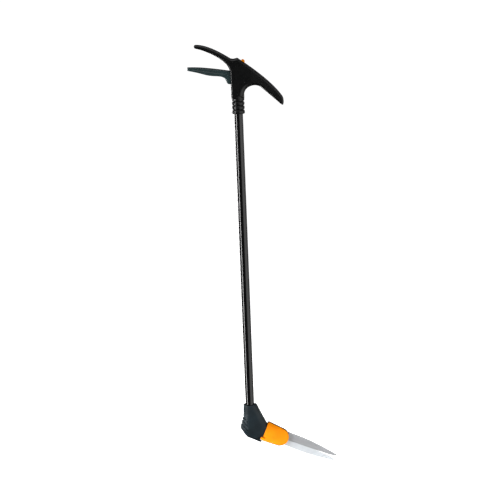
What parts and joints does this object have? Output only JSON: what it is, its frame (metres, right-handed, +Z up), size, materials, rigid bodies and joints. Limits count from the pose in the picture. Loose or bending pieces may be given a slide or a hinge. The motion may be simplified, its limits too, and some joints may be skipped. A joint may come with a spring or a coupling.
{
  "type": "long-handled swivel grass shears",
  "caption": "Upright grass shears: a squeeze lever under a hooked grip pulls a rod down the shaft, and a swivelling head carries the crossed blades.",
  "frame": {"origin": "on the shaft's axis at the lower edge of the handle's collar, where a rack fork carries it", "axes": "+Z up the shaft, +X towards the blades, +Y away from the orange cover's side"},
  "size_m": [0.3368, 0.0441, 1.053],
  "materials": {
    "handle_nylon": "black moulded nylon, semi-matt",
    "lever_nylon": "dark grey moulded nylon, semi-matt",
    "boot_nylon": "dark grey moulded nylon, matt with a fine grain",
    "orange_plastic": "orange moulded plastic, satin",
    "black_enamel": "black gloss enamel on steel tube",
    "fastener_steel": "plain zinc-plated steel",
    "spring_steel": "bright spring steel",
    "blade_steel": "ground steel, brushed along the blade"
  },
  "bodies": {
    "tool_frame": {"handle_shell_right": "handle_nylon", "handle_shell_left": "handle_nylon", "handle_screw_1": "fastener_steel", "handle_screw_2": "fastener_steel", "handle_screw_3": "fastener_steel", "handle_screw_4": "fastener_steel", "handle_screw_5": "fastener_steel", "lever_pivot_pin": "fastener_steel", "return_spring": "spring_steel", "shaft_tube": "black_enamel", "rod_guide_upper": "boot_nylon", "rod_guide_lower": "boot_nylon", "boot_shell_right": "boot_nylon", "boot_shell_left": "boot_nylon", "boot_screw_1": "fastener_steel", "boot_screw_2": "fastener_steel", "boot_screw_3": "fastener_steel", "crank_pivot_pin": "fastener_steel", "detent_ball": "spring_steel", "detent_spring": "spring_steel"},
    "trigger": {"trigger_lever": "lever_nylon", "link_pin": "fastener_steel"},
    "lock": {"lock_button": "orange_plastic"},
    "pull_link": {"pull_rod": "fastener_steel", "rod_pin": "fastener_steel", "spring_seat": "fastener_steel"},
    "crank": {"bell_crank": "fastener_steel"},
    "drive": {"drive_rod": "fastener_steel", "drive_pin": "fastener_steel"},
    "swivel_head": {"swivel_hub": "handle_nylon", "retaining_ring": "fastener_steel", "head_cover": "orange_plastic", "under_shell": "handle_nylon", "shell_screw_1": "fastener_steel", "shell_screw_2": "fastener_steel", "blade_bolt": "fastener_steel", "tension_washer": "spring_steel", "blade_nut": "fastener_steel"},
    "blade_slider": {"slider": "boot_nylon", "slider_pin": "fastener_steel"},
    "upper_blade": {"blade_upper": "blade_steel"},
    "lower_blade": {"blade_lower": "blade_steel"}
  },
  "joints": [
    {"name": "trigger_squeeze", "type": "hinge", "parent": "tool_frame", "child": "trigger", "pos_m": [0.022, 0, 0.09], "axis": [0, 1, 0], "range_deg": [-13, 3]},
    {"name": "lock_slide", "type": "slide", "parent": "tool_frame", "child": "lock", "axis": [0.7934, 0, -0.6088], "range_m": [0, 0.005]},
    {"name": "rod_slide", "type": "slide", "parent": "tool_frame", "child": "pull_link", "axis": [0, 0, 1], "range_m": [-0.0052, 0.0013], "deforming": ["return_spring"]},
    {"name": "crank_turn", "type": "hinge", "parent": "tool_frame", "child": "crank", "pos_m": [0.015, 0, -0.76901], "axis": [0, 1, 0], "range_deg": [-19.5, 4.8]},
    {"name": "drive_slide", "type": "slide", "parent": "tool_frame", "child": "drive", "axis": [0.9135, 0, -0.4067], "range_m": [-0.0013, 0.0052]},
    {"name": "head_swivel", "type": "hinge", "parent": "tool_frame", "child": "swivel_head", "pos_m": [0.0347, 0, -0.7942], "axis": [-0.9135, 0, 0.4067], "range_deg": [0, 180]},
    {"name": "slider_slide", "type": "slide", "parent": "swivel_head", "child": "blade_slider", "axis": [0.9135, 0, -0.4067], "range_m": [-0.0013, 0.0052]},
    {"name": "upper_blade_turn", "type": "hinge", "parent": "swivel_head", "child": "upper_blade", "pos_m": [0.07581, 0, -0.8125], "axis": [0, 1, 0], "range_deg": [-10.2, 2.5]},
    {"name": "lower_blade_turn", "type": "hinge", "parent": "swivel_head", "child": "lower_blade", "pos_m": [0.07581, 0, -0.8125], "axis": [0, 1, 0], "range_deg": [-2.5, 10.2]}
  ],
  "couplings": [
    {"joint": "rod_slide", "follows": "trigger_squeeze", "m_per_rad": 0.022},
    {"joint": "crank_turn", "follows": "trigger_squeeze", "ratio": 1.4667},
    {"joint": "drive_slide", "follows": "trigger_squeeze", "m_per_rad": -0.022},
    {"joint": "slider_slide", "follows": "trigger_squeeze", "m_per_rad": -0.022},
    {"joint": "upper_blade_turn", "follows": "trigger_squeeze", "ratio": 0.764},
    {"joint": "lower_blade_turn", "follows": "trigger_squeeze", "ratio": -0.764}
  ]
}
